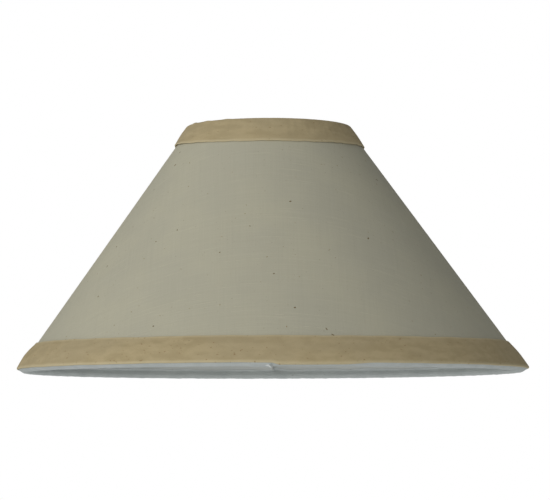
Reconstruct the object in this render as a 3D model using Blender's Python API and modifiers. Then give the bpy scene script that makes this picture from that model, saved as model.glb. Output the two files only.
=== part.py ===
"""A hardback cone (coolie) lamp shade: muslin laminated to a stiff liner, rolled into a cone and
lapped at the back, bound to a wire ring at each rim, with a spider fitter in the top.

Metres, +Z up the cone's axis, origin on the ground under the bottom rim's centre. The seam is at +Y.

A place on the wall is given by two lengths: "along", up the slope from the panel's edge, and
"out", square to the slope, outwards from the liner's inner face.
"""

import math

import bmesh
import bpy
from mathutils import Matrix, Vector

# Driving dimensions of the wire frame. Ring diameters are to the wire's centre line.
BOTTOM_RING_DIAMETER = 0.2956
TOP_RING_DIAMETER = 0.0935
RING_SPACING = 0.1414
RING_WIRE = 0.0024

# A hand-rolled shade is never quite true: the top ring sits this far along X from the bottom one
TOP_OFFSET = -0.0022

# Sheet goods
LINER_THICKNESS = 0.0005
COVER_THICKNESS = 0.0005
SEAM_TAPE_THICKNESS = 0.00025
BINDING_THICKNESS = 0.0004
TRIM_THICKNESS = 0.0006
FIT_GAP = 0.0003

# The lap seam, measured round the cone
LAP_WIDTH = 0.010
SEAM_TAPE_MARGIN = 0.0015
RISE_WIDTH = 0.012
DROP_WIDTH = 0.008
CREST_CLEARANCE = 0.001
TAPE_BREAK = 0.0006

# Bindings and trims, measured along the slope
BINDING_OUTER_LEG = 0.005
BINDING_INNER_LEG = 0.009
BINDING_RETURN_ANGLE = math.radians(35)
TRIM_STEP = 0.002
BOTTOM_TRIM_FACE = 0.0172
BOTTOM_TRIM_CURL = math.radians(50)
TOP_TRIM_FACE = 0.0157
TOP_TRIM_TURN_IN = 0.0018

# The spider fitter
ARM_COUNT = 3
ARM_WIRE = 0.0028
ARM_BELOW_RING = 0.0006
ARM_RUN_AT_RING = 0.005
ARM_SLOPE = math.radians(50)
ARM_BEND_RADIUS = 0.005
ARM_TIP_BEYOND_HOLE = 0.003
FITTER_DROP = 0.0127
WASHER_DIAMETER = 0.0254
WASHER_HOLE = 0.0111
WASHER_THICKNESS = 0.002
WASHER_CHAMFER = 0.0003

# The seam's place, as the turn from +X
SEAM_TURN = math.pi / 2

# Fineness
PLAIN_COLUMNS = 60
LAP_COLUMNS = 3
PANEL_ROWS = 3
EDGE_STEPS = 2
ROUND_RING_STEPS = 4
TURN_IN_STEPS = 3
CURL_STEPS = 2
WIRE_SIDES = 8
BEND_STEPS = 4
WASHER_STEPS = 48
SLOT_SIDES = 12
MERGE_DISTANCE = 0.00001
SHARP_ANGLE = math.radians(50)

# What follows from the driving dimensions
WIRE_RADIUS = RING_WIRE / 2
ARM_RADIUS = ARM_WIRE / 2
SLOPE_ANGLE = math.atan2((BOTTOM_RING_DIAMETER - TOP_RING_DIAMETER) / 2, RING_SPACING)
UPSLOPE = Vector((-math.sin(SLOPE_ANGLE), math.cos(SLOPE_ANGLE)))
OUTWARD = Vector((math.cos(SLOPE_ANGLE), math.sin(SLOPE_ANGLE)))
BOTTOM_RING_HEIGHT = WIRE_RADIUS + FIT_GAP + BINDING_THICKNESS
TOP_RING_HEIGHT = BOTTOM_RING_HEIGHT + RING_SPACING
PANEL_LENGTH = RING_SPACING / math.cos(SLOPE_ANGLE) + RING_WIRE
PANEL_FOOT = (
    Vector((BOTTOM_RING_DIAMETER / 2, BOTTOM_RING_HEIGHT))
    + OUTWARD * (WIRE_RADIUS + FIT_GAP)
    - UPSLOPE * WIRE_RADIUS
)

# Distances out from the liner's inner face
COVER_OUT = LINER_THICKNESS + FIT_GAP
PANEL_OUT = COVER_OUT + COVER_THICKNESS
SEAM_TAPE_OUT = PANEL_OUT + FIT_GAP
LAP_RISE = SEAM_TAPE_OUT + SEAM_TAPE_THICKNESS + FIT_GAP
BINDING_REACH = FIT_GAP + BINDING_THICKNESS
TRIM_REACH = BINDING_REACH + FIT_GAP


def on_wall(along, out):
    """The radius and height of a place on the wall."""
    return PANEL_FOOT + UPSLOPE * along + OUTWARD * out


def to_space(radius, turn, height):
    """A point at this turn round the cone's axis, which leans with the offset of the rings."""
    lean = TOP_OFFSET * height / RING_SPACING
    return Vector((radius * math.cos(turn) + lean, radius * math.sin(turn), height))


def clear_scene():
    for thing in list(bpy.data.objects):
        bpy.data.objects.remove(thing, do_unlink=True)
    for group in list(bpy.data.collections):
        bpy.data.collections.remove(group)


def new_collection(name):
    group = bpy.data.collections.new(name)
    bpy.context.scene.collection.children.link(group)
    return group


def make_material(name, colour, roughness, metallic=0.0):
    material = bpy.data.materials.new(name)
    material.use_nodes = True
    shader = material.node_tree.nodes["Principled BSDF"]
    shader.inputs["Base Color"].default_value = (*colour, 1.0)
    shader.inputs["Roughness"].default_value = roughness
    shader.inputs["Metallic"].default_value = metallic
    return material


def place(part, group, material=None):
    """Puts an object in this collection alone, and gives it its material."""
    for holder in list(part.users_collection):
        holder.objects.unlink(part)
    group.objects.link(part)
    if material:
        part.data.materials.clear()
        part.data.materials.append(material)
    return part


def arc(centre, radius, first, last, steps):
    """Points (along, out) round a centre. The turn is from "out" towards the panel's edge."""
    turns = [first + (last - first) * step / steps for step in range(steps + 1)]
    return [(centre[0] - radius * math.sin(t), centre[1] + radius * math.cos(t)) for t in turns]


# A column is a line across a sheet at one turn round the cone. It stands at
# SEAM_TURN + turn + width / radius, and rise says how far the lap lifts it, from 0 to 1.


def lap_columns():
    """The columns over the lap, where every outer layer is fully lifted."""
    return [(2 * math.pi, LAP_WIDTH * step / LAP_COLUMNS, 1.0) for step in range(LAP_COLUMNS + 1)]


def plain_columns(first_width):
    """The columns from just past the seam right round to the foot of the rise."""
    shares = [step / PLAIN_COLUMNS for step in range(PLAIN_COLUMNS + 1)]
    return [(2 * math.pi * f, first_width * (1 - f) - RISE_WIDTH * f, 0.0) for f in shares]


def panel_columns():
    """A sheet that starts at the seam, goes once round and lies over its own start."""
    return plain_columns(0.0) + [(2 * math.pi, -CREST_CLEARANCE, 1.0)] + lap_columns()


def tape_columns(first):
    """Once round over the lap, from the plain column of this number back to it, less the break."""
    past_lap = LAP_WIDTH + CREST_CLEARANCE
    crest = [(2 * math.pi, -CREST_CLEARANCE, 1.0), *lap_columns(), (2 * math.pi, past_lap, 1.0)]
    loop = plain_columns(past_lap + DROP_WIDTH) + crest
    columns = loop[first:] + [(turn + 2 * math.pi, w, rise) for turn, w, rise in loop[: first + 1]]
    for end, shift in ((0, TAPE_BREAK / 2), (-1, -TAPE_BREAK / 2)):
        turn, width, rise = columns[end]
        columns[end] = (turn, width + shift, rise)
    return columns


def lay_sheet(name, group, material, columns, outline, thickness):
    """An open surface through the outline at each column, thickened away from the ring.

    outline(rise) lists (along, out) points in order, running down the slope on the outer side.
    """
    mesh = bpy.data.meshes.new(name)
    shape = bmesh.new()
    lines = []
    for turn, width, rise in columns:
        line = []
        for along, out in outline(rise):
            radius, height = on_wall(along, out)
            angle = SEAM_TURN + turn + width / on_wall(along, 0.0).x
            line.append(shape.verts.new(to_space(radius, angle, height)))
        lines.append(line)
    for line, following in zip(lines, lines[1:]):
        for step in range(len(line) - 1):
            shape.faces.new((line[step], line[step + 1], following[step + 1], following[step]))
    shape.to_mesh(mesh)
    shape.free()
    mesh.shade_smooth()
    mesh.set_sharp_from_angle(angle=SHARP_ANGLE)
    sheet = bpy.data.objects.new(name, mesh)
    wall = sheet.modifiers.new("thickness", "SOLIDIFY")
    wall.thickness = thickness
    wall.offset = 1.0
    wall.use_even_offset = True
    return place(sheet, group, material)


def panel_outline(first_out):
    """A straight sheet over the whole slope, its inner face this far out."""
    alongs = [PANEL_LENGTH * (1 - row / PANEL_ROWS) for row in range(PANEL_ROWS + 1)]
    return lambda rise: [(along, first_out + rise * LAP_RISE) for along in alongs]


def edge_to_wall(at_top, points):
    """Turns points measured from a rim's edge into places on the wall, in drawing order."""
    if not at_top:
        return points
    return [(PANEL_LENGTH - along, out) for along, out in reversed(points)]


def binding_outline(at_top):
    """White tape: down over the panel's edge, across, round the ring and back up to the liner."""
    ring = (WIRE_RADIUS, -FIT_GAP - WIRE_RADIUS)
    leaving = math.pi + BINDING_RETURN_ANGLE
    round_ring = arc(ring, WIRE_RADIUS + FIT_GAP, math.pi / 2, leaving, ROUND_RING_STEPS)
    rest = -FIT_GAP - round_ring[-1][1]
    meeting = round_ring[-1][0] + rest / math.tan(BINDING_RETURN_ANGLE)

    def outline(rise):
        edge = PANEL_OUT + rise * LAP_RISE
        points = [
            (BINDING_OUTER_LEG, edge + FIT_GAP),
            *arc((0.0, edge), FIT_GAP, 0.0, math.pi / 2, EDGE_STEPS),
            *round_ring,
            (meeting, -FIT_GAP),
            (max(BINDING_INNER_LEG, meeting + BINDING_THICKNESS), -FIT_GAP),
        ]
        return edge_to_wall(at_top, points)

    return outline


def trim_outline(at_top):
    """Tan tape outside the cover: it steps up over the binding and turns over the rim."""
    face = TOP_TRIM_FACE if at_top else BOTTOM_TRIM_FACE

    def outline(rise):
        edge = PANEL_OUT + rise * LAP_RISE
        points = [
            (face, edge + FIT_GAP),
            (BINDING_OUTER_LEG + TRIM_STEP, edge + FIT_GAP),
            (BINDING_OUTER_LEG + FIT_GAP, edge + TRIM_REACH),
        ]
        if at_top:
            points += arc((0.0, edge), TRIM_REACH, 0.0, math.pi / 2, TURN_IN_STEPS)
            points.append((-TRIM_REACH, edge - TOP_TRIM_TURN_IN))
        else:
            points += arc((0.0, edge), TRIM_REACH, 0.0, BOTTOM_TRIM_CURL, CURL_STEPS)
        return edge_to_wall(at_top, points)

    return outline


def make_seam_tape(group, material):
    """The adhesive strip between the cover's first end and the liner's last end."""
    first, last = SEAM_TAPE_MARGIN, LAP_WIDTH - SEAM_TAPE_MARGIN
    widths = [first + (last - first) * step / LAP_COLUMNS for step in range(LAP_COLUMNS + 1)]
    columns = [(0.0, width, 0.0) for width in widths]
    length = PANEL_LENGTH - 2 * SEAM_TAPE_MARGIN
    alongs = [SEAM_TAPE_MARGIN + length * (1 - row / PANEL_ROWS) for row in range(PANEL_ROWS + 1)]
    lay_sheet(
        "seam_tape",
        group,
        material,
        columns,
        lambda rise: [(along, SEAM_TAPE_OUT) for along in alongs],
        SEAM_TAPE_THICKNESS,
    )


def make_ring(name, group, material, diameter, height):
    bpy.ops.mesh.primitive_torus_add(
        location=to_space(0.0, 0.0, height),
        major_segments=PLAIN_COLUMNS,
        minor_segments=WIRE_SIDES,
        major_radius=diameter / 2,
        minor_radius=WIRE_RADIUS,
    )
    ring = bpy.context.object
    ring.name = name
    ring.data.shade_smooth()
    return place(ring, group, material)


def bent_path(corners, bend):
    """Points (radius, height) along a wire with these ends and corners, rounded to this bend radius."""
    points = [corners[0]]
    for before, corner, after in zip(corners, corners[1:], corners[2:]):
        arriving = (corner - before).normalized()
        leaving = (after - corner).normalized()
        turn = arriving.angle(leaving)
        inward = (leaving - arriving * math.cos(turn)).normalized()
        start = corner - arriving * bend * math.tan(turn / 2)
        for step in range(BEND_STEPS + 1):
            part = turn * step / BEND_STEPS
            points.append(start + arriving * bend * math.sin(part) + inward * bend * (1 - math.cos(part)))
    return points + [corners[-1]]


def arm_corners():
    """Radius and height of the arm's ends and bends, from the ring in to the washer."""
    start = Vector((TOP_RING_DIAMETER / 2 - WIRE_RADIUS - FIT_GAP, TOP_RING_HEIGHT - ARM_BELOW_RING))
    first_bend = start - Vector((ARM_RUN_AT_RING, 0.0))
    second_bend = first_bend - Vector((FITTER_DROP / math.tan(ARM_SLOPE), FITTER_DROP))
    tip = Vector((WASHER_HOLE / 2 + ARM_TIP_BEYOND_HOLE, second_bend.y))
    return [start, first_bend, second_bend, tip]


def arm_turn(number):
    return SEAM_TURN + 2 * math.pi * number / ARM_COUNT


def make_arm(number, group, material):
    path = bent_path(arm_corners(), ARM_BEND_RADIUS)
    wire = bpy.data.curves.new(f"spider_arm_{number + 1}", "CURVE")
    wire.dimensions = "3D"
    wire.bevel_depth = ARM_RADIUS
    wire.bevel_resolution = 2
    wire.use_fill_caps = True
    line = wire.splines.new("POLY")
    line.points.add(len(path) - 1)
    line.use_smooth = True
    for point, (radius, height) in zip(line.points, path):
        point.co = (*to_space(radius, arm_turn(number), height), 1.0)
    arm = bpy.data.objects.new(wire.name, wire)
    return place(arm, group, material)


def make_washer(group, material):
    """The hub, turned from its section. It lies on the arms' tips."""
    outer, inner = WASHER_DIAMETER / 2, WASHER_HOLE / 2
    low = arm_corners()[-1].y + ARM_RADIUS + FIT_GAP
    high = low + WASHER_THICKNESS
    cut = WASHER_CHAMFER
    section = [
        (outer - cut, high),
        (outer, high - cut),
        (outer, low + cut),
        (outer - cut, low),
        (inner + cut, low),
        (inner, low + cut),
        (inner, high - cut),
        (inner + cut, high),
    ]
    mesh = bpy.data.meshes.new("spider_washer")
    edges = [(point, (point + 1) % len(section)) for point in range(len(section))]
    mesh.from_pydata([(radius, 0.0, height - low) for radius, height in section], edges, [])
    washer = bpy.data.objects.new("spider_washer", mesh)
    washer.location = to_space(0.0, 0.0, low)
    turned = washer.modifiers.new("turned", "SCREW")
    turned.steps = WASHER_STEPS
    turned.render_steps = WASHER_STEPS
    turned.use_merge_vertices = True
    turned.merge_threshold = MERGE_DISTANCE
    return place(washer, group, material)


def cut_arm_slots(binding, cutters):
    """Opens the top binding where each arm passes through it to the ring."""
    start = arm_corners()[0]
    length = ARM_RUN_AT_RING + WIRE_RADIUS + FIT_GAP
    for number in range(ARM_COUNT):
        turn = arm_turn(number)
        middle = start.x + WIRE_RADIUS + FIT_GAP - length / 2
        bpy.ops.mesh.primitive_cylinder_add(
            vertices=SLOT_SIDES, radius=ARM_RADIUS + FIT_GAP, depth=length
        )
        cutter = bpy.context.object
        cutter.name = f"arm_slot_{number + 1}"
        lying = Matrix.Rotation(turn, 4, "Z") @ Matrix.Rotation(math.pi / 2, 4, "Y")
        cutter.matrix_world = Matrix.Translation(to_space(middle, turn, start.y)) @ lying
        cutter.hide_render = True
        cutter.display_type = "WIRE"
        place(cutter, cutters)
        slot = binding.modifiers.new(cutter.name, "BOOLEAN")
        slot.operation = "DIFFERENCE"
        slot.solver = "EXACT"
        slot.object = cutter


def make_shade():
    clear_scene()
    shade = new_collection("lamp_shade")
    cutters = new_collection("cutters")

    muslin = make_material("muslin", (0.33, 0.32, 0.25), 0.9)
    styrene = make_material("styrene", (0.55, 0.56, 0.54), 0.5)
    cotton = make_material("white_cotton_tape", (0.42, 0.44, 0.43), 0.9)
    tan = make_material("tan_tape", (0.37, 0.30, 0.18), 0.9)
    adhesive = make_material("adhesive_tape", (0.6, 0.58, 0.5), 0.4)
    steel = make_material("plated_steel", (0.6, 0.58, 0.55), 0.35, 1.0)

    panel = panel_columns()
    lay_sheet("styrene_liner", shade, styrene, panel, panel_outline(0.0), LINER_THICKNESS)
    lay_sheet("fabric_cover", shade, muslin, panel, panel_outline(COVER_OUT), COVER_THICKNESS)
    make_seam_tape(shade, adhesive)

    # The tapes' ends meet at the back, except the bottom binding's, which meet at the front
    at_back, at_front = tape_columns(0), tape_columns(PLAIN_COLUMNS // 2)
    lay_sheet("bottom_trim", shade, tan, at_back, trim_outline(False), TRIM_THICKNESS)
    lay_sheet("top_trim", shade, tan, at_back, trim_outline(True), TRIM_THICKNESS)
    lay_sheet("bottom_binding", shade, cotton, at_front, binding_outline(False), BINDING_THICKNESS)
    binding = lay_sheet("top_binding", shade, cotton, at_back, binding_outline(True), BINDING_THICKNESS)
    cut_arm_slots(binding, cutters)

    make_ring("bottom_ring", shade, steel, BOTTOM_RING_DIAMETER, BOTTOM_RING_HEIGHT)
    make_ring("top_ring", shade, steel, TOP_RING_DIAMETER, TOP_RING_HEIGHT)
    for number in range(ARM_COUNT):
        make_arm(number, shade, steel)
    make_washer(shade, steel)


make_shade()
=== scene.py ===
# %% [markdown]
# # A cone lamp shade in muslin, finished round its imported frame
#
# The real object is a hardback "coolie" shade: natural muslin glued to a stiff white liner, cut as
# a fan, rolled into a cone and lapped at the back. White cotton tape binds it to a wire ring at
# each rim, a folded tan tape covers each rim outside, and a spider fitter sits in the top.
#
# Everything below is placed in the frame's own space, in metres, so no piece has to be fitted by eye.

# %% Load the frame
import math

import bmesh
import bpy
import numpy as np
from mathutils import Matrix, Vector


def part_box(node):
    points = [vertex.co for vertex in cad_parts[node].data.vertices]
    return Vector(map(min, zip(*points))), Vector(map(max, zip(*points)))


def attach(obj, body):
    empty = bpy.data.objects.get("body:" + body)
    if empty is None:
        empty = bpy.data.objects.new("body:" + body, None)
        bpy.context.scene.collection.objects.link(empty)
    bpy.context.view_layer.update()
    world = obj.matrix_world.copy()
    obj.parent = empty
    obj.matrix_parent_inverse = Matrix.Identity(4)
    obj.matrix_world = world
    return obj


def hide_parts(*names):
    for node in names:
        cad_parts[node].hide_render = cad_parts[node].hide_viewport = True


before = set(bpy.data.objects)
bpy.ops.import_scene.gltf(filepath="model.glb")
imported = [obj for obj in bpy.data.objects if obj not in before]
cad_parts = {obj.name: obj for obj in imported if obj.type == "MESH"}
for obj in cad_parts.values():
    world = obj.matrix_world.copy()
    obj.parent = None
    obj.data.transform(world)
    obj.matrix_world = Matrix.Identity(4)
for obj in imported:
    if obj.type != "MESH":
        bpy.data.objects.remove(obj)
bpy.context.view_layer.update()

# %% [markdown]
# ## Read the wire frame's sizes
#
# The two rings carry the whole shade, so their sizes set everything else. Each ring's box gives its
# radius, the height of its centre line and the wire's thickness. It would also work to type the
# numbers in again, but then a change to the frame would not reach the cloth.

# %% The rings, and the slope between them


def ring_sizes(node):
    """Radius to the wire's centre line, place along X, height, and the wire's own radius."""
    low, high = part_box(node)
    wire = high.z - low.z
    return (high.x - low.x - wire) / 2, (low.x + high.x) / 2, (low.z + high.z) / 2, wire / 2


bottom_radius, bottom_x, bottom_height, wire_radius = ring_sizes("bottom_ring")
top_radius, top_x, top_height, _ = ring_sizes("top_ring")
spacing = top_height - bottom_height
slope = math.atan2(bottom_radius - top_radius, spacing)
lean = (top_x - bottom_x) / spacing          # a hand-rolled shade leans a little
print(f"rings {2e3 * bottom_radius:.1f} and {2e3 * top_radius:.1f} mm across")
print(f"slope {math.degrees(slope):.1f} degrees from upright")

# %% [markdown]
# ## A way to name any place on the wall
#
# A cone is easiest to work on as if it were still flat. "Along" is a length up the slope from the
# panel's lower edge and "out" is a distance square to the slope, so a tape's section can be drawn
# once and carried round. The sizes here are the ones that the frame was built with.

# %% Along, out and turn
SEAM_TURN = math.pi / 2          # the lap seam is at the back, at +Y
TURN = 2 * math.pi
RING_GAP = 0.0003                # between the wire and the panel
LINER_OUT, LINER_THICK = 0.00026, 0.00050
COVER_OUT, COVER_THICK = 0.00080, 0.00050
COVER_FACE = COVER_OUT + COVER_THICK
LAP_WIDTH, RISE_WIDTH, DROP_WIDTH = 0.010, 0.012, 0.006
LAP_RISE = 0.00166               # the lap lies on the glued seam tape
RISE_END = -0.0008               # the rise is over this far before the sheet's first edge
TOUCH = 0.00002                  # glued faces are drawn this far apart
FRONT_TURN = -math.pi / 2
upslope = Vector((-math.sin(slope), math.cos(slope)))
outward = Vector((math.cos(slope), math.sin(slope)))
panel_length = spacing / math.cos(slope) + 2 * wire_radius
foot = Vector((bottom_radius, bottom_height)) + outward * (wire_radius + RING_GAP) - upslope * wire_radius


def wall_points(along, out, turn):
    """Points in space for arrays of places on the wall."""
    radius = foot.x + upslope.x * along + outward.x * out
    height = foot.y + upslope.y * along + outward.y * out
    return np.stack([radius * np.cos(turn) + lean * height, radius * np.sin(turn), height], axis=-1)


print(f"the panel is {1e3 * panel_length:.1f} mm long up the slope")

# %% [markdown]
# ## The camera, first
#
# The view is a long lens just under the level of the rim, tipped up a little, so the edge of the
# bottom tape shows and a thin slice of the inside with it. A long lens from far off keeps the cone's
# sides almost straight. A short lens close by would make the near rim bulge.

# %% Camera
VIEW_FROM = Vector((0.00135, -1.6146, -0.0407))
VIEW_PITCH, VIEW_ROLL = 0.0707, -0.0026
camera_data = bpy.data.cameras.new("camera")
camera_data.sensor_width = 36.0
camera_data.lens = 176.8
camera_data.clip_end = 50.0
camera = bpy.data.objects.new("camera", camera_data)
bpy.context.scene.collection.objects.link(camera)
tipped = Matrix.Rotation(math.pi / 2 + VIEW_PITCH, 4, "X") @ Matrix.Rotation(VIEW_ROLL, 4, "Z")
camera.matrix_world = Matrix.Translation(VIEW_FROM) @ tipped
bpy.context.scene.camera = camera
print("camera", VIEW_FROM, "lens", camera_data.lens)

# %% [markdown]
# ## Sums inside a node tree
#
# Geometry Nodes and materials both do their arithmetic with Math nodes. Wiring dozens of them by
# hand hides the formula, so this small class lets a formula be written as it would be on paper, and
# adds one Math node for each sign.

# %% A number that runs through a tree


def feed(tree, entries, values):
    """Gives each input its value: a link for a Number, and a plain setting for anything else."""
    for entry, value in zip(entries, values):
        if isinstance(value, Number):
            tree.links.new(value.socket, entry)
        else:
            entry.default_value = value


class Number:
    """A value in a node tree. +, -, * and / each add a Math node."""

    def __init__(self, tree, socket):
        self.tree, self.socket = tree, socket

    def math(self, operation, *others, first=None):
        node = self.tree.nodes.new("ShaderNodeMath")
        node.operation = operation
        feed(self.tree, node.inputs, (self if first is None else first, *others))
        return Number(self.tree, node.outputs[0])

    def __add__(self, other):
        return self.math("ADD", other)

    def __sub__(self, other):
        return self.math("SUBTRACT", other)

    def __rsub__(self, other):
        return self.math("SUBTRACT", self, first=other)

    def __mul__(self, other):
        return self.math("MULTIPLY", other)

    def __truediv__(self, other):
        return self.math("DIVIDE", other)

    __radd__, __rmul__ = __add__, __mul__

    def steps(self, low, high, start=0.0, end=1.0, soft=True):
        """Runs from start to end as this value goes from low to high, and stays there."""
        node = self.tree.nodes.new("ShaderNodeMapRange")
        node.interpolation_type = "SMOOTHSTEP" if soft else "LINEAR"
        feed(self.tree, node.inputs, (self, low, high, start, end))
        return Number(self.tree, node.outputs[0])


def joined(tree, x, y, z):
    """One vector from three numbers."""
    node = tree.nodes.new("ShaderNodeCombineXYZ")
    feed(tree, node.inputs, (x, y, z))
    return node.outputs[0]


def parted(tree, vector):
    """The three numbers of one vector."""
    node = tree.nodes.new("ShaderNodeSeparateXYZ")
    tree.links.new(vector, node.inputs[0])
    return [Number(tree, socket) for socket in node.outputs]


# %% [markdown]
# ## Growing a piece from a tree
#
# A Geometry Nodes modifier is only a recipe until it is evaluated. Here the recipe gets its sizes by
# socket identifier, is evaluated once, and the result is kept as a plain mesh, so that the piece can
# be exported and weighed like any other.

# %% New tree, new piece and grown piece
KINDS = {
    "Count": "Int", "Seed": "Int", "Columns": "Int", "Rows": "Int",
    "Finish": "Material", "Cloth": "Geometry",
}


def new_tree(name, labels):
    """A Geometry Nodes tree with these named inputs, and each input's socket by name."""
    tree = bpy.data.node_groups.new(name, "GeometryNodeTree")
    tree.is_modifier = True
    for label in labels:
        kind = "NodeSocket" + KINDS.get(label, "Float")
        tree.interface.new_socket(label, in_out="INPUT", socket_type=kind)
    tree.interface.new_socket("Geometry", in_out="OUTPUT", socket_type="NodeSocketGeometry")
    given = tree.nodes.new("NodeGroupInput")
    sockets = {label: given.outputs[label] for label in labels}
    return tree, {k: Number(tree, s) if k not in KINDS else s for k, s in sockets.items()}


def keep_flat(tree, shape, place):
    """Stores this place of each point, which is where it lies on the flat fan."""
    store = tree.nodes.new("GeometryNodeStoreNamedAttribute")
    store.data_type = "FLOAT_VECTOR"
    store.inputs["Name"].default_value = "flat"
    tree.links.new(shape, store.inputs["Geometry"])
    tree.links.new(place, store.inputs["Value"])
    return store.outputs["Geometry"]


def hand_over(tree, shape, finish):
    """Ends a tree: real geometry, shaded smooth, in its material."""
    for kind in ("GeometryNodeRealizeInstances", "GeometryNodeSetShadeSmooth", "GeometryNodeSetMaterial"):
        node = tree.nodes.new(kind)
        tree.links.new(shape, node.inputs["Geometry"])
        shape = node.outputs[0]
    tree.links.new(finish, node.inputs["Material"])
    tree.links.new(shape, tree.nodes.new("NodeGroupOutput").inputs["Geometry"])


def plain_mesh(thing):
    """Swaps an object's modifiers for the mesh that they make."""
    bpy.context.view_layer.update()
    graph = bpy.context.evaluated_depsgraph_get()
    made = thing.evaluated_get(graph)
    mesh = bpy.data.meshes.new_from_object(made, preserve_all_data_layers=True, depsgraph=graph)
    thing.modifiers.clear()
    thing.data = mesh
    mesh.name = thing.name
    return thing


def new_piece(name, shape, finish):
    """A smooth mesh object from a bmesh, in its material."""
    mesh = bpy.data.meshes.new(name)
    shape.to_mesh(mesh)
    shape.free()
    mesh.shade_smooth()
    mesh.materials.append(finish)
    piece = bpy.data.objects.new(name, mesh)
    bpy.context.scene.collection.objects.link(piece)
    return piece


def grow(name, tree, start=None, wall=None, **sizes):
    """A plain mesh piece from a tree. A name in sizes has _ for each space in the input's name."""
    piece = bpy.data.objects.new(name, start.data.copy() if start else bpy.data.meshes.new(name))
    bpy.context.scene.collection.objects.link(piece)
    recipe = piece.modifiers.new(tree.name, "NODES")
    recipe.node_group = tree
    for item in tree.interface.items_tree:
        if item.item_type == "SOCKET" and item.in_out == "INPUT" and item.name != "Cloth":
            recipe[item.identifier] = sizes[item.name.replace(" ", "_")]
    if wall:
        thick = piece.modifiers.new("thickness", "SOLIDIFY")
        thick.thickness, thick.offset = wall, 1.0
    plain_mesh(piece)
    print(f"{name}: {len(piece.data.polygons)} faces")
    return piece


# %% [markdown]
# ## The rule that rolls a flat pattern into the cone
#
# Cloth and liner are cut as one fan. Rolled up, a line across the fan becomes a line round the cone,
# and the last 10 mm climbs over the first to make the lap. Both sheets and every yarn in the cloth
# follow this one rule, so it is written once, as a formula on fields.

# %% Roll up
WALL_LABELS = ("Foot Radius", "Foot Height", "Slope", "Lean", "Seam Turn", "Lap Rise", "Rise Width")
WALL_SIZES = dict(
    Foot_Radius=foot.x, Foot_Height=foot.y, Slope=slope, Lean=lean,
    Seam_Turn=SEAM_TURN, Lap_Rise=LAP_RISE, Rise_Width=RISE_WIDTH,
)


def rolled(tree, given, turn, along, out):
    """The point on the cone for a turn from the seam, a length up the slope and a distance out."""
    sine, cosine = given["Slope"].math("SINE"), given["Slope"].math("COSINE")
    plain_radius = given["Foot Radius"] - along * sine
    past_lap_start = (turn - TURN) * plain_radius
    lifted = past_lap_start.steps(given["Rise Width"] * -1.0, RISE_END)
    out = out + lifted * given["Lap Rise"]
    radius = plain_radius + out * cosine
    height = given["Foot Height"] + along * cosine + out * sine
    angle = given["Seam Turn"] + turn
    x = radius * angle.math("COSINE") + given["Lean"] * height
    return joined(tree, x, radius * angle.math("SINE"), height)


# %% [markdown]
# ## A sheet of the panel, as a tree
#
# A grid is the sheet before rolling. Its X runs once round and over the lap, its Y up the slope.
# The tree also stores where each point lay on the flat fan, because real threads run straight
# across the cut piece: level at the front of the shade, and tilted more and more towards the seam.

# %% The panel tree
PANEL_COLUMNS, LAP_SHARE = 721, 1 / 60


def panel_tree():
    labels = ("Columns", "Rows", "Length", "Out", "Lap Width", *WALL_LABELS, "Finish")
    tree, given = new_tree("panel", labels)
    grid = tree.nodes.new("GeometryNodeMeshGrid")
    tree.links.new(given["Columns"], grid.inputs["Vertices X"])
    tree.links.new(given["Rows"], grid.inputs["Vertices Y"])
    place = tree.nodes.new("GeometryNodeInputPosition")
    across, up, _ = parted(tree, place.outputs[0])
    share = (across + 0.5) * (1 + LAP_SHARE)
    along = (up + 0.5) * given["Length"]
    sine = given["Slope"].math("SINE")
    plain_radius = given["Foot Radius"] - along * sine
    lap = share.steps(1.0, 1 + LAP_SHARE, soft=False) * given["Lap Width"] / plain_radius
    turn = share.math("MINIMUM", 1.0) * TURN + lap

    fan = (turn - math.pi) * sine
    slant = plain_radius / sine
    flat = joined(tree, slant * fan.math("SINE"), slant * fan.math("COSINE") * -1.0, 0.0)
    move = tree.nodes.new("GeometryNodeSetPosition")
    tree.links.new(keep_flat(tree, grid.outputs["Mesh"], flat), move.inputs["Geometry"])
    tree.links.new(rolled(tree, given, turn, along, given["Out"]), move.inputs["Position"])
    hand_over(tree, move.outputs["Geometry"], given["Finish"])
    return tree


# %% [markdown]
# ## Materials: a small kit
#
# Every finish here is worked out from noise and formulas, with no picture behind it. These helpers
# keep the finishes short: one noise, one two-colour blend, one bump, and the plain parts of the
# shader that stay the same all over and so are set on its own sockets.

# %% Material helpers


def new_finish(name, roughness, metallic=0.0, sheen=0.0, specular=0.5):
    """An empty material, its tree and its shader."""
    finish = bpy.data.materials.new(name)
    finish.use_nodes = True
    tree = finish.node_tree
    shader = tree.nodes["Principled BSDF"]
    shader.inputs["Roughness"].default_value = roughness
    shader.inputs["Metallic"].default_value = metallic
    shader.inputs["Sheen Weight"].default_value = sheen
    shader.inputs["Sheen Roughness"].default_value = 0.6
    shader.inputs["Specular IOR Level"].default_value = specular
    return finish, tree, shader


def named_place(tree, attribute):
    node = tree.nodes.new("ShaderNodeAttribute")
    node.attribute_name = attribute
    return node.outputs["Vector"]


def object_place(tree):
    return tree.nodes.new("ShaderNodeTexCoord").outputs["Object"]


def noise(tree, place, scale, stretch=(1, 1, 1), detail=3.0, turn=0.0):
    """Soft noise from 0 to 1. scale is in lumps a metre, and stretch makes the lumps longer."""
    mapping = tree.nodes.new("ShaderNodeMapping")
    mapping.inputs["Scale"].default_value = [scale / s for s in stretch]
    mapping.inputs["Rotation"].default_value = (0, 0, turn)
    tree.links.new(place, mapping.inputs["Vector"])
    node = tree.nodes.new("ShaderNodeTexNoise")
    node.inputs["Scale"].default_value = 1.0
    node.inputs["Detail"].default_value = detail
    tree.links.new(mapping.outputs[0], node.inputs["Vector"])
    return Number(tree, node.outputs[0])


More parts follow.
